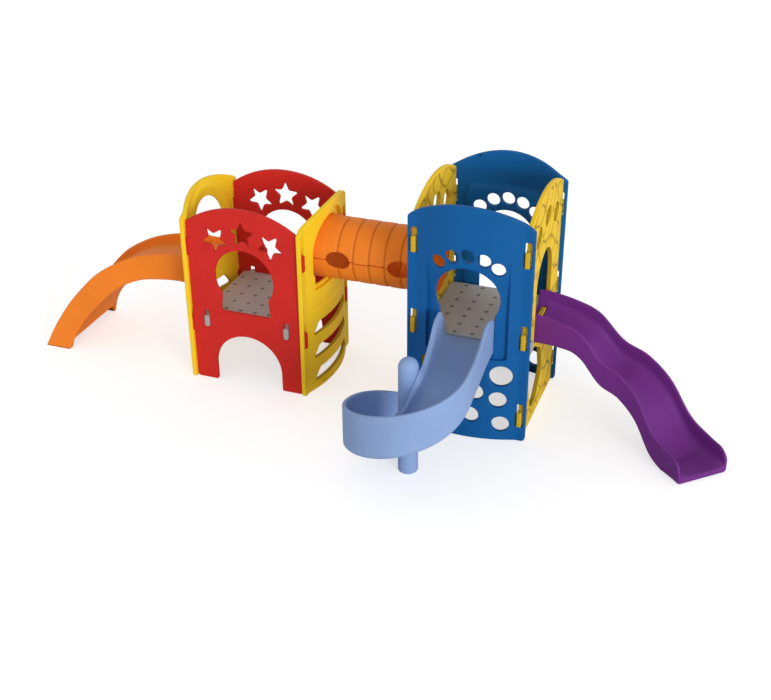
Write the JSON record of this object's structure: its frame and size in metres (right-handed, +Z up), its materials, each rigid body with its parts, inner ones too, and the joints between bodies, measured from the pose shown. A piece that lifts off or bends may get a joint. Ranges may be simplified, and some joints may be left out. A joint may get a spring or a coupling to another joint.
{
  "type": "modular play structure",
  "caption": "Low and tall towers of moulded plastic panels joined by a crawl tunnel, with an arched slide, a spiral slide round a post and a wave slide.",
  "frame": {"origin": "on the floor, in the middle of the structure's outline", "axes": "+Z up, +X from the low tower towards the tall tower, -Y the side that the spiral slide stands on"},
  "size_m": [6.1094, 2.3258, 2.003],
  "materials": {
    "red_plastic": "matt rotomoulded polyethylene",
    "yellow_plastic": "matt rotomoulded polyethylene",
    "blue_plastic": "matt rotomoulded polyethylene",
    "gold_plastic": "matt rotomoulded polyethylene",
    "orange_plastic": "matt rotomoulded polyethylene",
    "purple_plastic": "matt rotomoulded polyethylene",
    "light_blue_plastic": "matt rotomoulded polyethylene",
    "deck_plastic": "matt rotomoulded polyethylene with oval dimples",
    "steel": "zinc-plated, brushed"
  },
  "bodies": {
    "root": {"red_front_panel": "red_plastic", "red_back_panel": "red_plastic", "yellow_left_panel": "yellow_plastic", "yellow_right_panel": "yellow_plastic", "blue_front_panel": "blue_plastic", "blue_back_panel": "blue_plastic", "gold_left_panel": "gold_plastic", "gold_right_panel": "gold_plastic", "orange_slide": "orange_plastic", "tunnel_upper_half": "orange_plastic", "tunnel_lower_half": "orange_plastic", "wave_slide": "purple_plastic", "spiral_slide": "light_blue_plastic", "spiral_post": "light_blue_plastic", "low_platform": "deck_plastic", "high_platform": "deck_plastic", "orange_slide_bolt_1": "steel", "orange_slide_bolt_2": "steel", "post_screw_1": "steel", "post_screw_2": "steel", "slide_washer_1": "steel", "slide_washer_2": "steel", "slide_washer_3": "steel", "slide_washer_4": "steel", "spiral_slide_bolt_1": "steel", "spiral_slide_bolt_2": "steel", "wave_slide_bolt_1": "steel", "wave_slide_bolt_2": "steel"}
  },
  "joints": []
}
